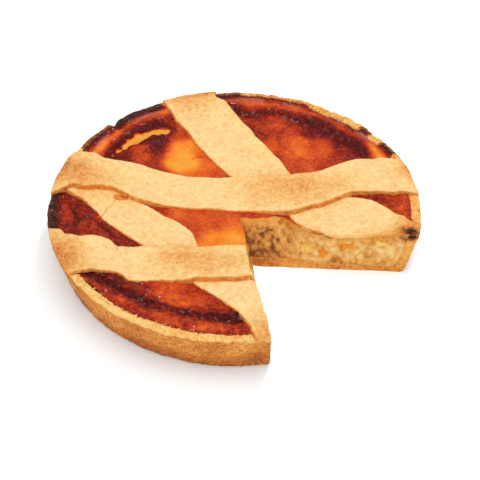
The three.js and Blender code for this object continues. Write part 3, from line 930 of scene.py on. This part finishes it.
def knife():
    """The tool that cuts the wedge out, as fine as the relief on it needs."""
    bm = block(columns=250, rows=3, layers=76)
    painted = bm.verts.layers.float.new("relief")
    for vert in bm.verts:
        share = vert.co.x + 0.5
        across = vert.co.y + 0.5
        z = mix(CUT_BOTTOM, CUT_HIGHEST, vert.co.z + 0.5)
        left, right = face_point(0, share, z), face_point(1, share, z)
        plan = left.lerp(right, across)
        height = lumps(plan.x, plan.y, z)
        radius = math.hypot(plan.x, plan.y)
        inside_wall = smoothstep(radius, INSIDE_RADIUS + 1, INSIDE_RADIUS - 2)
        above_floor = smoothstep(z, FLOOR - 0.5, FLOOR + 1.5)
        below_skin = smoothstep(dish(radius) + 1.5 - z, -1, 1.5)
        push = height * mix(PASTRY_LUMPS, CRUMB_LUMPS, min(inside_wall, above_floor, below_skin))
        vert.co = (plan.x + (push if across < 0.5 else 0), plan.y - (push if across > 0.5 else 0), z)
        vert[painted] = height
    for face in bm.faces:
        face.material_index = 1
    bmesh.ops.recalc_face_normals(bm, faces=bm.faces[:])
    print("the knife has", len(bm.faces), "faces")
    return into_object(bm, "knife", None, None)


the_knife = knife()

# %% [markdown]
# ## The crust
# The shell is turned from one closed profile: out along the base, up the flared wall, over the rim, down
# the inside and back along the floor. The wall and the rim have points less than a millimetre apart, so
# that they can crumble.

# %% Crust
spread = (RIM_RADIUS - BASE_RADIUS) / RIM_HEIGHT
inner_foot = (BASE_RADIUS - WALL + FLOOR * spread, FLOOR)
base_edge = (BASE_RADIUS - FOOT_CHAMFER, 0)
FLOOR_RING = 60  # one ring of points half-way out keeps the triangles of a floor short
outside = divided([base_edge, *RIM_PROFILE], 0.85)
inside = divided([RIM_PROFILE[-1], inner_foot], 6)
underside = divided([(0, 0), base_edge], 12)
crust = turned([*underside[:-1], *outside, *inside[1:], (FLOOR_RING, FLOOR), (0, FLOOR)], steps=840)
for vert in crust.verts:
    if vert.co.z > 0 and vert.co.to_2d().length > inner_foot[0] + 0.1:
        vert.co = crumble(vert.co)
baked_crust = into_object(crust, "baked_crust", crust_finish.material, section_finish.material)
carve(baked_crust, the_knife)


def crust_toast(x, y, z):
    """Brown towards the foot, pale on the rim, burnt at the corner and where the filling boiled over."""
    top = smoothstep(z + hills(x, y, 7, 5) * 0.8, RIM_HEIGHT - 1.9, RIM_HEIGHT - 0.6)
    wall = mix(0.66, 0.46, smoothstep(z, 0, RIM_HEIGHT * 0.7)) + hills(x, y, z, 18) * 0.1
    pale = 0.04 + hills(x, y, 12, 8) * 0.12 + hills(x, y, 5, 3) * 0.1
    pale += smoothstep(y + x * 0.5, -20, 60) * 0.16
    scorch = burnt(x, y) * smoothstep(z, RIM_HEIGHT - 7, RIM_HEIGHT - 2.5)
    corner = scorched(x, y) * smoothstep(z + hills(x, y, z, 4), RIM_HEIGHT - 8, RIM_HEIGHT - 2)
    return mix(mix(wall, pale, top), 0.98, scorch) + corner


paint(baked_crust, "toast", crust_toast)
complete(baked_crust, "crust", slot="crust")

# %% [markdown]
# ## The filling
# The filling is turned too, with a ring of points every millimetre on its top, which then take the
# skin's height. Its outermost rings are pulled out over the rim as far as it boiled over there.

# %% Filling
SKIN_STEP = 1.0
SHORE = 117  # inside this radius the rings stay where they are
SLACK = 0.05  # room between the filling and the crust, so that their faces don't coincide
inner_edge = INSIDE_RADIUS - SLACK
wall_top = (inner_edge - 0.6, RIM_HEIGHT - 3)
wall_foot = (inner_foot[0] - SLACK, FLOOR + SLACK)
TOP_LEVEL = RIM_HEIGHT * 2  # marks the points of the top until they get their height
top_rings = [(0, TOP_LEVEL), *divided([(4, TOP_LEVEL), (inner_edge, TOP_LEVEL)], SKIN_STEP)]
bottom = [(FLOOR_RING, FLOOR + SLACK), (0, FLOOR + SLACK)]
filling = turned([*top_rings, wall_top, wall_foot, *bottom], steps=600)
for vert in filling.verts:
    if vert.co.z < TOP_LEVEL - 1:
        continue
    x, y = vert.co.x, vert.co.y
    radius = math.hypot(x, y)
    if radius > SHORE:
        share = (radius - SHORE) / (inner_edge - SHORE)
        reach = inner_edge + spill(angle_of(x, y)) - SHORE
        scale = (SHORE + share * reach) / radius
        x, y = x * scale, y * scale
        radius *= scale
        over = rim_surface(x, y) + mix(0.7, -0.3, smoothstep(share, 0.75, 1))
        beside = smoothstep(radius, inner_edge - 3, inner_edge)
        vert.co = (x, y, mix(skin(x, y), over, beside))
    else:
        vert.co.z = skin(x, y)
baked_filling = into_object(filling, "baked_filling", skin_finish.material, crumb_finish.material)
carve(baked_filling, the_knife)
# The brown number includes painted shade and light of the skin's relief.
paint(baked_filling, "brown", lambda x, y, z: browning_and_painted_light(x, y) if z > CENTRE_HEIGHT - 5 else 0.5)
# The painted sheen along the bead at the back.
paint(baked_filling, "painted_sheen", lambda x, y, z: sheen_line_of_light(x, y) if z > CENTRE_HEIGHT else 0)
paint(baked_filling, "depth", lambda x, y, z: skin(x, y) - z)


def crumb_tan_and_shade(x, y, z):
    """Browner near the middle of the tart and at its foot, partly caramel tan and partly painted shade near
    the notch's inner corner and the floor, and browner below the scorched corner.
    """
    middle = smoothstep(math.hypot(x - 8, y + 20), 48, 8)
    return middle + smoothstep(z, 12, 3) * 0.5 + scorched(x, y) * 3 * smoothstep(z, 22, 31)


# Painted shade near the notch's inner corner and near the floor, with the caramel tan and the scorched
# corner.
paint(baked_filling, "tan_and_painted_shade", crumb_tan_and_shade)
complete(baked_filling, "filling", slot="filling")

# %% [markdown]
# ## The strips
# A strip is a divided block that is bent along its route, pressed a little into the filling and lifted
# over the strips it crosses. Its rows stand closer together at the sides, where the rolled dough is
# rounded. Its ends are pressed thin onto the rim and trimmed with a disc.

# %% How a strip lies
STRIP_THICKNESS = 3.4
STRIP_ROUND = 1.6
SUNK_IN_FILLING, SUNK_IN_RIM = 1.8, 0.3
FILLING_END, RIM_START = 112, 124  # a strip goes up from the filling to the rim between these radii
RAMP_START, RAMP_END = 13, -2  # and onto another strip between these distances from its side
PINCH_SHARE, PINCH_LENGTH = 0.45, 15
GAP = 0.3


def thickness(x, y):
    at_rim = smoothstep(math.hypot(x, y), RIM_RADIUS - PINCH_LENGTH, RIM_RADIUS)
    return STRIP_THICKNESS * (1 - PINCH_SHARE * at_rim)


def seat(x, y):
    """Height of a strip's underside: it lies a little in the filling, and on the rim."""
    outside = smoothstep(math.hypot(x, y), FILLING_END, RIM_START)
    return bed(x, y) - mix(SUNK_IN_FILLING, SUNK_IN_RIM, outside)


def lift(strip, x, y):
    """How far a strip is lifted by the strips that it crosses."""
    lifts = [0]
    for name in strip["over"]:
        near = smoothstep(outside_of(STRIPS[name], x, y), RAMP_START, RAMP_END)
        lifts.append(near * (thickness(x, y) + GAP))
    return max(lifts)


# %% [markdown]
# ## Toasted places of the dough
# The strips brown where they stand highest and near the rim. As on the skin, soft patches round named
# places say how much, and the thin lower edges of a strip are always darker than its top.

# %% Toasted patches
# (x, y, radius, how toasted)
TOASTED = [
    (-122, 34, 15, 0.30), (-104, 28, 17, 0.20), (20, 25, 15, 0.18), (45, 24, 18, 0.24),
    (70, 24, 14, 0.14), (-40, -48, 14, 0.22), (-18, -54, 15, 0.22), (2, -50, 10, 0.12),
    (-118, -44, 12, 0.30), (-112, -60, 12, 0.26), (104, -33, 8, 0.16), (94, -31, 9, 0.12),
    (122, -20, 10, 0.26), (125, 34, 11, 0.24), (-38, 119, 14, 0.22), (-22, 126, 10, 0.22),
    (12, -127, 3.5, 0.20), (17, -116, 9, 0.20), (20, -124, 6, 0.24), (-2, 128, 8, 0.22),
]
DOUGH_TOAST = 0.2


def toasted(x, y):
    """How toasted the top of the dough is at a place."""
    return DOUGH_TOAST + sum(
        amount * math.exp(-((x - px) ** 2 + (y - py) ** 2) / size**2) for px, py, size, amount in TOASTED
    )


# %% Make the strips
STRIP_STEP, ROWS, LAYERS = 0.9, 44, 3
# by strip: (line, how wide the crack opens)
DOUGH_CRACKS = {
    "strip_long_front": (
        Route((-83, -34.5), (-81, -39.5), (-77, -48.5), (-74.3, -56.5), (-71.7, -65), (-70.4, -75.5)),
        0.55,
    ),
    "strip_diagonal_front": (
        Route((-86, 11.7), (-88.2, 6.2), (-91.7, -2.3), (-95, -9.3), (-97, -13.3)),
        0.8,
    ),
    "strip_diagonal_back": (Route((92, -2), (90, -14), (88, -26)), 0.3),
    "strip_long_back": (Route((80, 48), (84, 30), (88, 12)), 0.25),
}
CRACK_DEPTH = 0.7
DOUGH_HOLE = (-82.5, 13, 4.6)  # x, y and radius of the hole in strip_diagonal_front
SIDE_BULGE = 0.4
FLANK_WIDTH, FLANK_SHARE = 2.2, 0.75


def dough_crack(name, x, y):
    """How far the dough is open at a place on a strip, from 0 to 1."""
    line, width = DOUGH_CRACKS[name]
    wander = hills(x, y, 33, 5) * 1.1
    open_wide = width * ring(line.distance(x + wander, y), 0, 0.55 + width * 0.4)
    if name == "strip_diagonal_front":
        px, py, size = DOUGH_HOLE
        away = math.hypot((x - px) * 0.75, y - py) + hills(x, y, 50, 4) * 1.5
        open_wide = max(open_wide, smoothstep(away, size, size * 0.6))
    return open_wide


def ribbon(name, strip):
    """A strip as a mesh, with its browner sides and cracks painted on it as its flank."""
    left_side, right_side = strip["sides"]
    bm = block(round(strip["middle"].length / STRIP_STEP), ROWS, LAYERS)
    flank = bm.verts.layers.float.new("flank")
    for vert in bm.verts:
        along = vert.co.x + 0.5
        side = math.sin(vert.co.y * math.pi)
        level = vert.co.z + 0.5
        left, right = left_side.at(along)[0], right_side.at(along)[0]
        middle = (left + right) / 2
        aside = (left - right).normalized()
        wander = hills(middle.x, middle.y, 15 if side > 0 else 60, 9) * 0.5
        wander += hills(middle.x, middle.y, 25 if side > 0 else 70, 3) * 0.25
        half = (left - right).length / 2 + wander
        x, y = middle + aside * side * half
        thick = thickness(x, y)
        inside = half * (1 - abs(side))
        inward = min(inside / STRIP_ROUND, 1)
        rounding = STRIP_ROUND * 0.7 * (1 - math.sqrt(1 - (1 - inward) ** 2))
        swell = hills(x, y, 80, 26) * 0.4 + hills(x, y, 85, 9) * 0.16 + hills(x, y, 88, 2.6) * 0.1
        open_wide = dough_crack(name, x, y)
        top = lift(strip, x, y) + thick - rounding + swell - open_wide * CRACK_DEPTH
        edge = 0
        if abs(side) > 0.999:
            edge = 1 - level
            bulge = SIDE_BULGE * math.sin(math.pi * level) + hills(x, y, level * 9, 3) * 0.3
            x, y = Vector((x, y)) + aside * (bulge if side > 0 else -bulge)
        vert.co = (x, y, seat(x, y) + top * level)
        vert[flank] = max(edge, smoothstep(inside, FLANK_WIDTH, 0) * FLANK_SHARE, open_wide)
    return bm


def trimming_disc():
    """The tool that trims the ends of the strips, ragged, a little past the rim."""
    radius = RIM_RADIUS + 0.5
    edge = divided([(radius, 10), (radius, 50)], 1.5)
    bm = turned([(0, -5), (radius, -5), *edge, (0, 50)], steps=500)
    for vert in bm.verts:
        x, y, z = vert.co
        ragged = hills(x, y, 0, 12) * 0.5 + hills(x, y, z, 3) * 0.3
        shoulder = 1.4 * smoothstep(z, RIM_HEIGHT - 1.5, RIM_HEIGHT + 3)
        out = 1 + (oval(x, y) + ragged - shoulder) / RIM_RADIUS if vert.co.to_2d().length > 1 else 1
        vert.co = (x * out, y * out, z)
    return into_object(bm, "trimming_disc", None)


disc = trimming_disc()
finishes = [dough_finish.material, section_finish.material]
for name, strip in STRIPS.items():
    piece = into_object(ribbon(name, strip), name + "_baked", *finishes)
    carve(piece, disc, "INTERSECT")
    if name != "strip_long_back":
        carve(piece, the_knife)
    flanks = [value.value for value in piece.data.attributes["flank"].data]
    tones = []
    for vert, flank in zip(piece.data.vertices, flanks):
        x, y, z = vert.co / MM
        mottle = flank * (hills(x, y, z, 7) * 0.1 + hills(x, y, z, 2.5) * 0.12)
        on_rim = smoothstep(math.hypot(x, y), RIM_START, RIM_RADIUS + 1) * 0.12
        tones.append(toasted(x, y) + mottle + on_rim + scorched(x, y))
    layer = piece.data.attributes.new("toast", "FLOAT", "POINT")
    layer.data.foreach_set("value", tones)
    complete(piece, name, slot="lattice")

# %% [markdown]
# ## Candied peel
# Dice of candied orange and citron sit in the cut faces. A die starts as a cube, gets its edges
# bevelled and its corners pushed about, and stands out of the face by a millimetre or so, as the knife
# leaves it.

# %% Dice of peel
# (side, share of the way along the face, height, size along the face, size upwards)
PEEL = {
    "candied_orange_right": (1, 0.45, 19, 9, 6),
    "candied_orange_deep": (1, 0.33, 11, 7, 6),
    "candied_orange_left": (0, 0.33, 14, 6, 7),
    "candied_orange_front": (0, 0.55, 12, 6, 8),
    "candied_citron_right": (1, 0.26, 12, 9, 6),
    "candied_citron_rim": (1, 0.6, 22, 11, 5),
    "candied_citron_left": (0, 0.42, 16, 9, 6),
    "candied_citron_front": (0, 0.6, 22, 8, 6),
}
DIE_DEPTH = 4
PROUD = 1.3

for name, (side, share, height, length, tall) in PEEL.items():
    bm = bmesh.new()
    bmesh.ops.create_cube(bm, size=1)
    size = (DIE_DEPTH, length, tall) if side == 0 else (length, DIE_DEPTH, tall)
    bmesh.ops.scale(bm, vec=size, verts=bm.verts[:])
    bmesh.ops.bevel(
        bm, geom=bm.edges[:], offset=0.9, segments=3, profile=0.5, affect="EDGES", material=-1
    )
    bmesh.ops.subdivide_edges(bm, edges=bm.edges[:], cuts=1, use_grid_fill=True)
    tilt = Matrix.Rotation(share * 2 - 0.9, 3, "XYZ"[side])
    bmesh.ops.rotate(bm, verts=bm.verts[:], cent=(0, 0, 0), matrix=tilt)
    plan = face_point(side, share, height)
    inward = Vector((-1, 0)) if side == 0 else Vector((0, 1))
    centre = plan + inward * (DIE_DEPTH / 2 - PROUD)
    own = share * 90  # gives each die dents of its own
    for vert in bm.verts:
        x, y, z = vert.co
        dents = (hills(x, y + own, z, 5), hills(y, z + own, x, 5), hills(z, x + own, y, 5))
        vert.co += Vector(dents) * 0.8
    bmesh.ops.translate(bm, verts=bm.verts[:], vec=(centre.x, centre.y, height))
    kind = "candied_orange" if "orange" in name else "candied_citron"
    finish = orange_finish if kind == "candied_orange" else citron_finish
    piece = into_object(bm, name + "_die", finish.material)
    complete(piece, name, slot=kind)

# %% [markdown]
# ## Crumbs
# Broken shortcrust leaves crumbs all along the rim. They are tiny icospheres, each squashed at random,
# and there are many of them, so each has only twenty faces.

# %% Crumbs on the rim
random.seed(7)
CRUMBS = 700
# (least, most, most often)
CRUMB_RADII, CRUMB_SIZES = (122.5, 130.2, 125.5), (0.2, 0.9, 0.3)


def covered(x, y):
    """True where a strip lies."""
    return any(outside_of(strip, x, y) < 1 for strip in STRIPS.values())


def in_notch(x, y):
    """True where the rim was cut away with the wedge."""
    return y < -34 - (x - 60) * 0.02 and x > 8 - y * 0.12


crumbs = bmesh.new()
placed = 0
while placed < CRUMBS:
    angle = random.uniform(0, math.tau)
    radius = random.triangular(*CRUMB_RADII)
    size = random.triangular(*CRUMB_SIZES)
    turn = Matrix.Rotation(random.uniform(0, math.tau), 4, "Z")
    x, y = radius * math.cos(angle), radius * math.sin(angle)
    if covered(x, y) or in_notch(x, y):
        continue
    if burnt(x, y) > 0.3 and random.random() < 0.8:
        continue
    spot = Vector((x, y, rim_surface(x, y) + size * 0.2))
    squash = Matrix.Diagonal((1, random.uniform(0.6, 1), random.uniform(0.5, 0.9), 1))
    bmesh.ops.create_icosphere(
        crumbs, subdivisions=1, radius=size, matrix=Matrix.Translation(spot) @ turn @ squash
    )
    placed += 1
rim_crumbs = into_object(crumbs, "rim_crumbs", crust_finish.material)
paint(rim_crumbs, "toast", lambda x, y, z: 0.14 + hills(x, y, 12, 8) * 0.2 + burnt(x, y) * 0.6)
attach(rim_crumbs, "root")
print(placed, "crumbs on the rim")

# %% [markdown]
# ## Tidy up the tools
# The knife and the disc did their work, and would only be in the way.

# %% Remove the tools
for tool in (the_knife, disc):
    bpy.data.objects.remove(tool)

# %% [markdown]
# ## Studio
# The tart stands on a plain white floor that glows faintly, so that it stays white in the shadows. A
# small light from behind gives the caramel its wet glints, a broad light above keeps the shadows faint,
# and a third light and the bright surroundings fill the front.

# %% Floor, light and camera
FLOOR_SIZE = 6000
MIDDLE = Vector((0, 0, 0.02))  # the middle of the tart, in metres, where the lights look

floor_finish = Finish("studio_floor", Base_Color=(0.91, 0.98, 1, 1), Roughness=1, Specular_IOR_Level=0)
floor_finish.set(Emission_Color=(0.94, 0.99, 1, 1), Emission_Strength=0.17)
floor_grid = bmesh.new()
bmesh.ops.create_grid(floor_grid, x_segments=1, y_segments=1, size=FLOOR_SIZE)
studio_floor = into_object(floor_grid, "studio_floor", floor_finish.material)


def area_light(name, place, size, power):
    """A round light at a place in metres, turned towards the tart."""
    light = bpy.data.lights.new(name, "AREA")
    light.shape = "DISK"
    light.size = size
    light.energy = power
    made = bpy.data.objects.new(name, light)
    made.location = place
    made.rotation_euler = (MIDDLE - Vector(place)).to_track_quat("-Z", "Y").to_euler()
    bpy.context.scene.collection.objects.link(made)


area_light("light_behind", place=(0.45, 0.85, 1.6), size=0.28, power=9)
area_light("light_above", place=(0.1, -0.1, 1.7), size=1.5, power=10)
area_light("light_in_front", place=(-0.5, -1.5, 0.8), size=0.9, power=6)

world = bpy.data.worlds.new("studio")
world.use_nodes = True
surroundings = world.node_tree.nodes["Background"].inputs
surroundings["Color"].default_value = (1, 1, 1, 1)
surroundings["Strength"].default_value = 0.56
bpy.context.scene.world = world
bpy.context.scene.view_settings.view_transform = "Standard"

# The camera stands where the photo was taken from, which was worked out from the outline of the tart.
camera_data = bpy.data.cameras.new("camera")
camera_data.lens = 94.4
camera = bpy.data.objects.new("camera", camera_data)
camera.location = (0.00298, -0.6631, 0.6244)
camera.rotation_euler = (math.radians(46.68), 0, 0)
bpy.context.scene.collection.objects.link(camera)
bpy.context.scene.camera = camera
